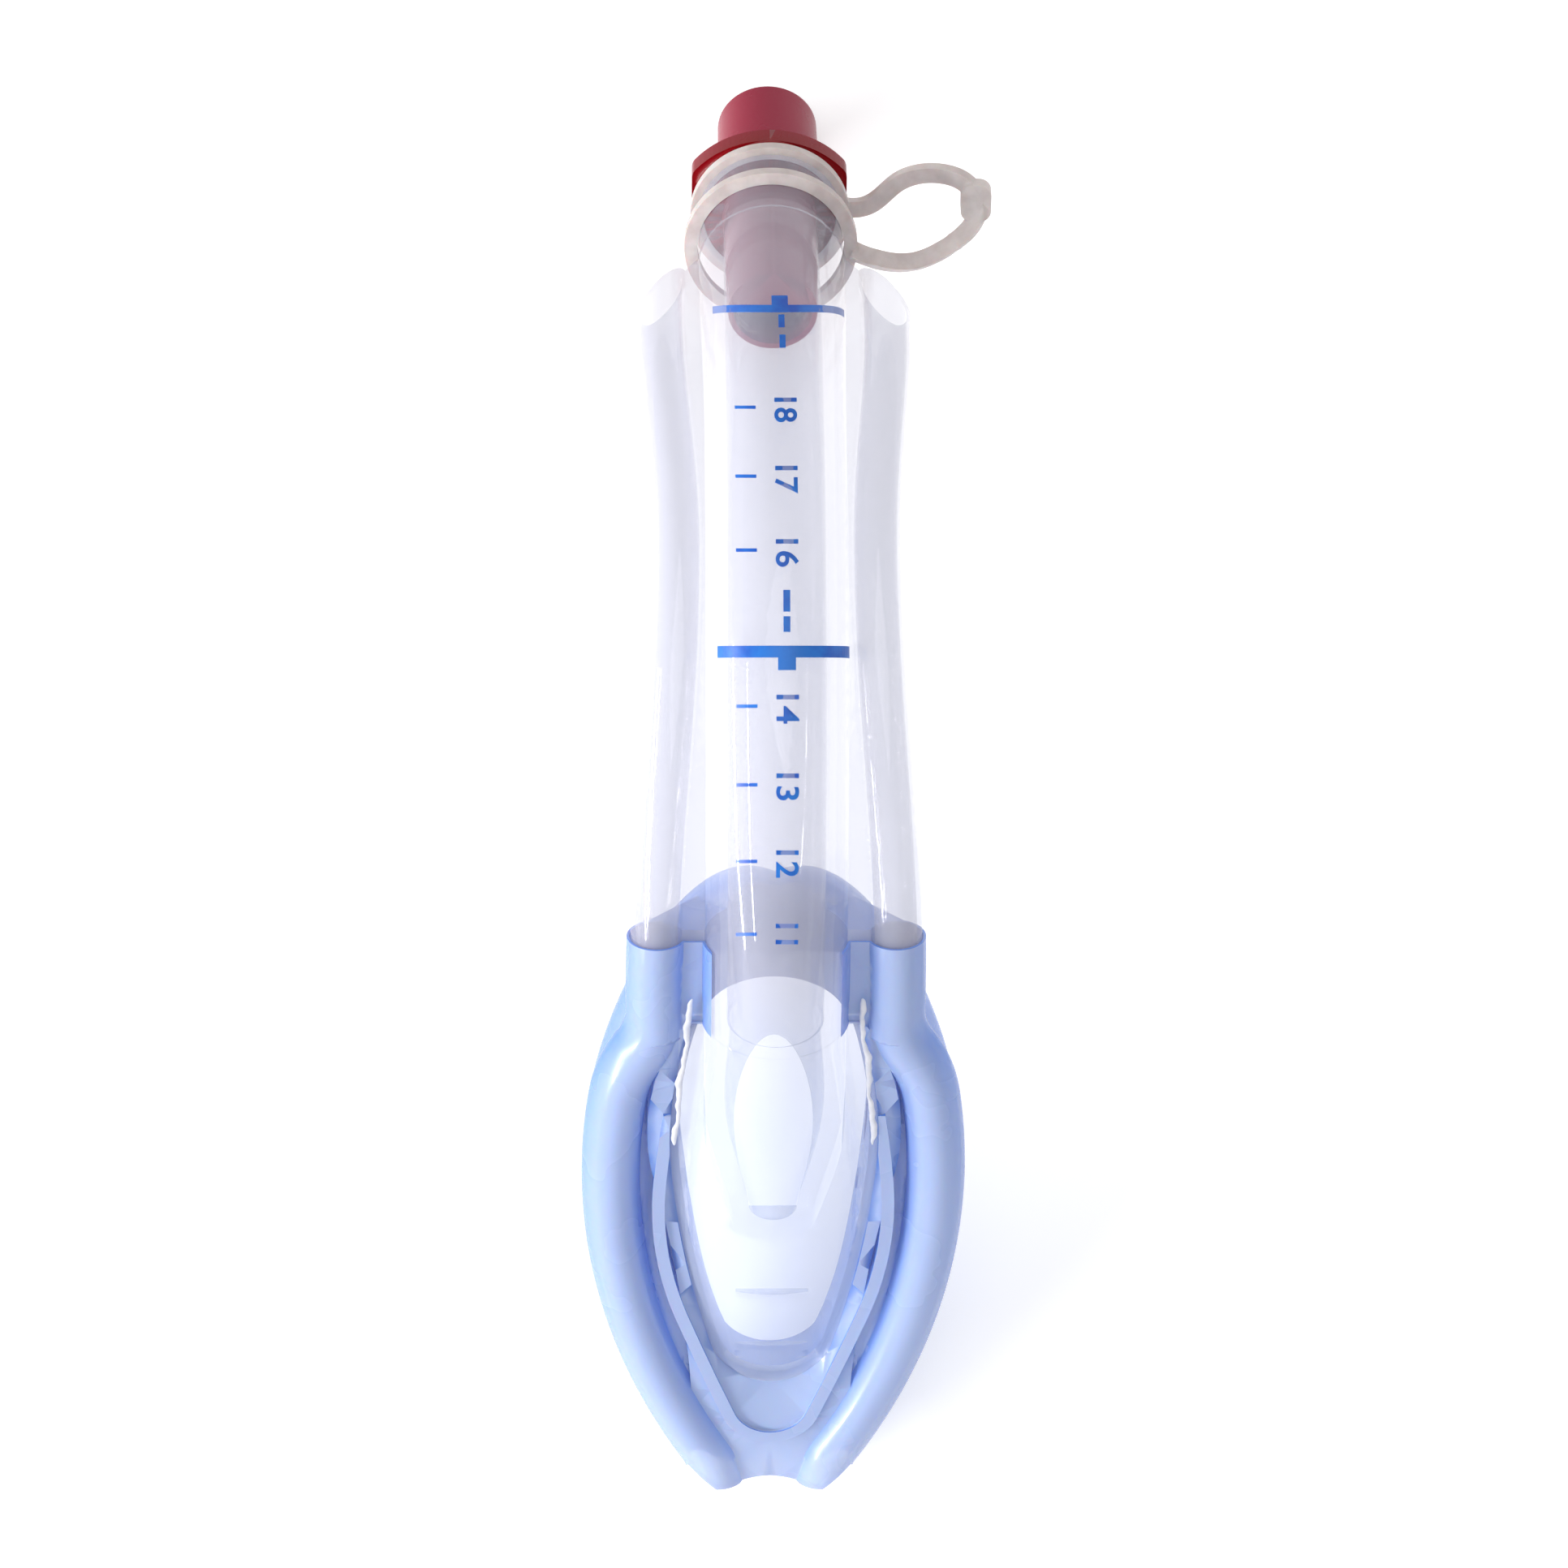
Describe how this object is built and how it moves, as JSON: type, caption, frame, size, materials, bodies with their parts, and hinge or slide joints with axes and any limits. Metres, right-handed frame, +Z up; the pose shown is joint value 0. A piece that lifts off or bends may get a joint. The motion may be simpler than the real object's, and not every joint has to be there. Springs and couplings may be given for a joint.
{
  "type": "laryngeal mask airway",
  "caption": "Adult laryngeal mask airway: a clear curved three-lumen tube ending in a soft blue bowl-shaped cuff, with a red tapered breathing connector on a looped tether.",
  "frame": {"origin": "on the table at the middle of the flat under the mask's tip", "axes": "+Z up with the part standing as an arch on its tip and its cone's rim, +Y from the mask towards the connector, +X to the tether's side"},
  "size_m": [0.0622, 0.2161, 0.0866],
  "materials": {
    "clear_body": "clear flexible PVC, moulded, gloss",
    "blue_cuff": "soft blue PVC, moulded, satin gloss",
    "red_connector": "tinted rigid plastic, moulded, gloss",
    "frosted_tether": "natural polyethylene, moulded, satin"
  },
  "bodies": {
    "root": {"airway_tube": "clear_body", "mask_cuff": "blue_cuff", "connector": "red_connector", "tether": "frosted_tether"}
  },
  "joints": []
}
